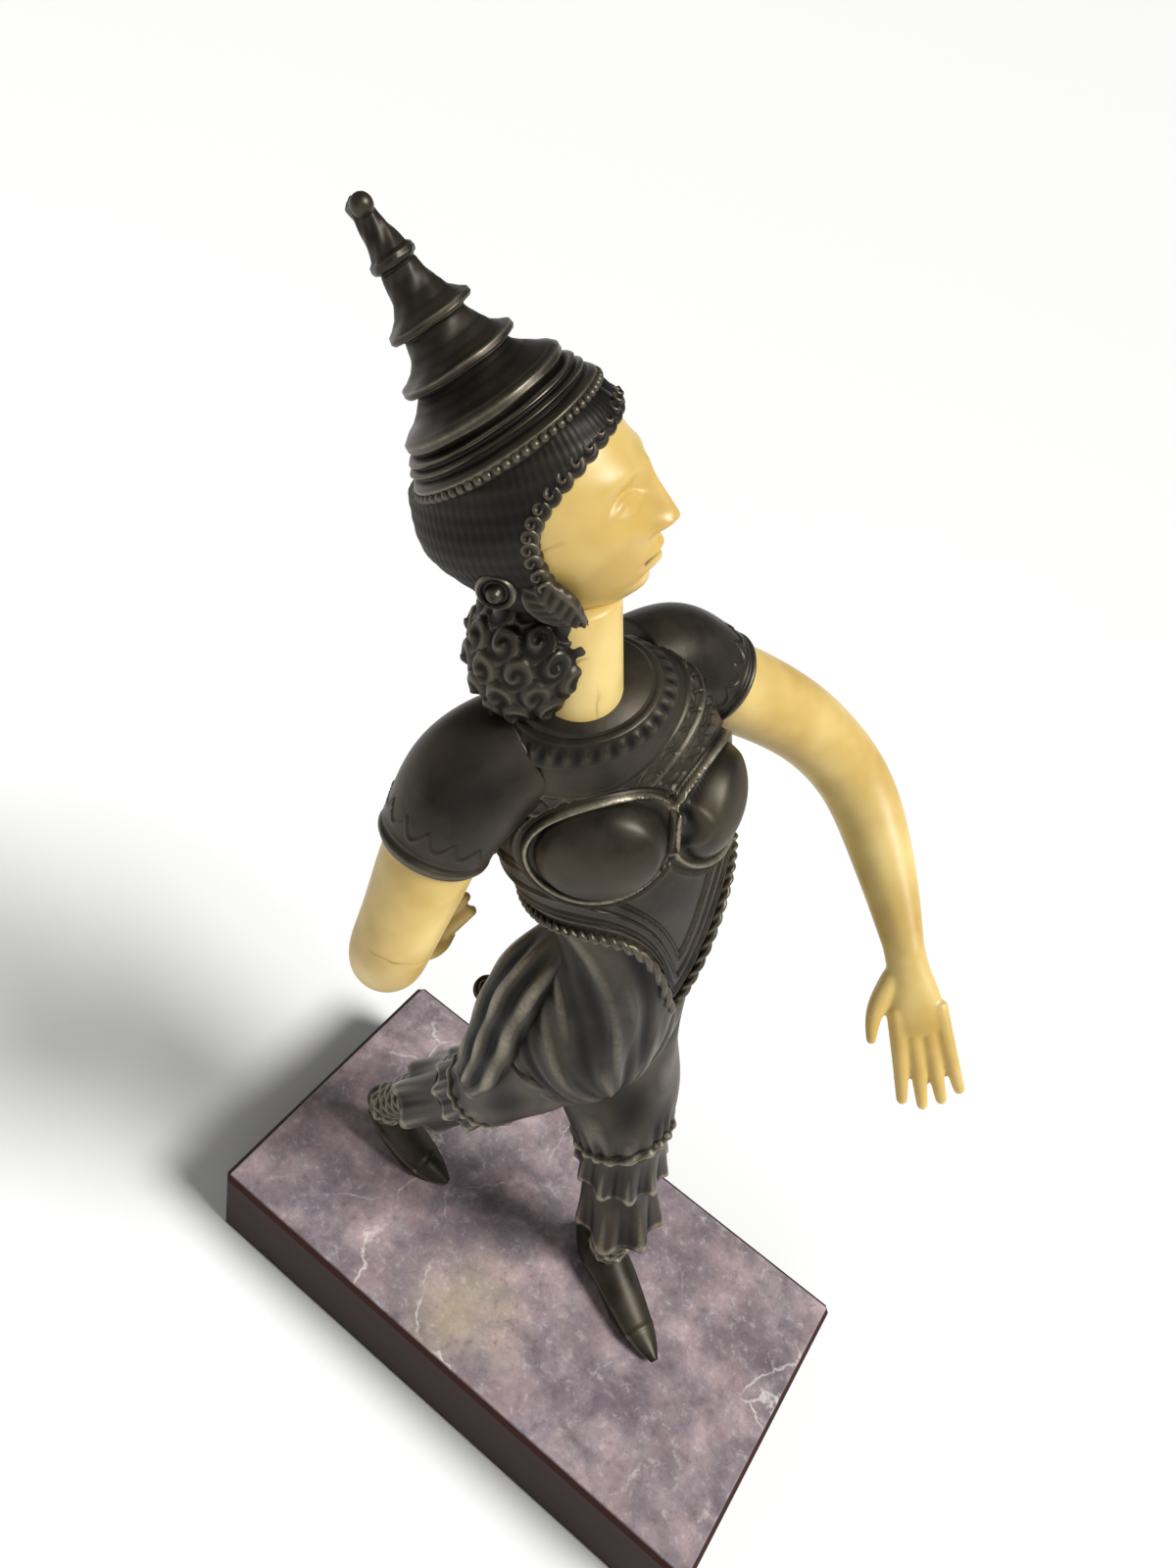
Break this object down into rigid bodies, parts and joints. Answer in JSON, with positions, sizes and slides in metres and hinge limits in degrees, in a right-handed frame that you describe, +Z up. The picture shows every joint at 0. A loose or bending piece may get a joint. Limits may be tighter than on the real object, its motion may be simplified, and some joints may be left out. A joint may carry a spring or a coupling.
{
  "type": "bronze statuette",
  "caption": "Striding dancer in a stepped crown: dark bronze costume, ivory-coloured head and arms, bolted to a rectangular marble slab.",
  "frame": {"origin": "centre of the face that the statuette rests on, the underside of the felt", "axes": "+Z up; +X the way the dancer strides, along the slab's length; +Y the dancer's left"},
  "size_m": [0.159, 0.0931, 0.3027],
  "materials": {
    "purple_marble": "polished",
    "felt": "matt felt",
    "patinated_bronze": "dark brown patina, waxed",
    "ivorine": "satin, aged",
    "zinc_steel": "plain zinc plated"
  },
  "bodies": {
    "root": {"marble_plinth": "purple_marble", "felt_pad": "felt", "front_shoe": "patinated_bronze", "rear_shoe": "patinated_bronze", "front_legging": "patinated_bronze", "rear_legging": "patinated_bronze", "front_shin_frill": "patinated_bronze", "rear_shin_frill": "patinated_bronze", "front_breeches": "patinated_bronze", "rear_breeches": "patinated_bronze", "hip_drape": "patinated_bronze", "side_sash": "patinated_bronze", "hip_knot": "patinated_bronze", "bodice": "patinated_bronze", "left_sleeve": "patinated_bronze", "right_sleeve": "patinated_bronze", "collar": "patinated_bronze", "waist_cord": "patinated_bronze", "hair_cap": "patinated_bronze", "nape_hair": "patinated_bronze", "left_ear_stud": "patinated_bronze", "right_ear_stud": "patinated_bronze", "crown_band": "patinated_bronze", "crown_spire": "patinated_bronze", "crown_finial": "patinated_bronze", "head": "ivorine", "left_arm": "ivorine", "right_arm": "ivorine", "front_fixing_stud": "zinc_steel", "rear_fixing_stud": "zinc_steel", "stud_washers": "zinc_steel", "stud_nuts": "zinc_steel", "neck_dowel": "zinc_steel", "left_arm_dowel": "zinc_steel", "right_arm_dowel": "zinc_steel", "waist_pin": "zinc_steel", "crown_screw": "zinc_steel"}
  },
  "joints": []
}
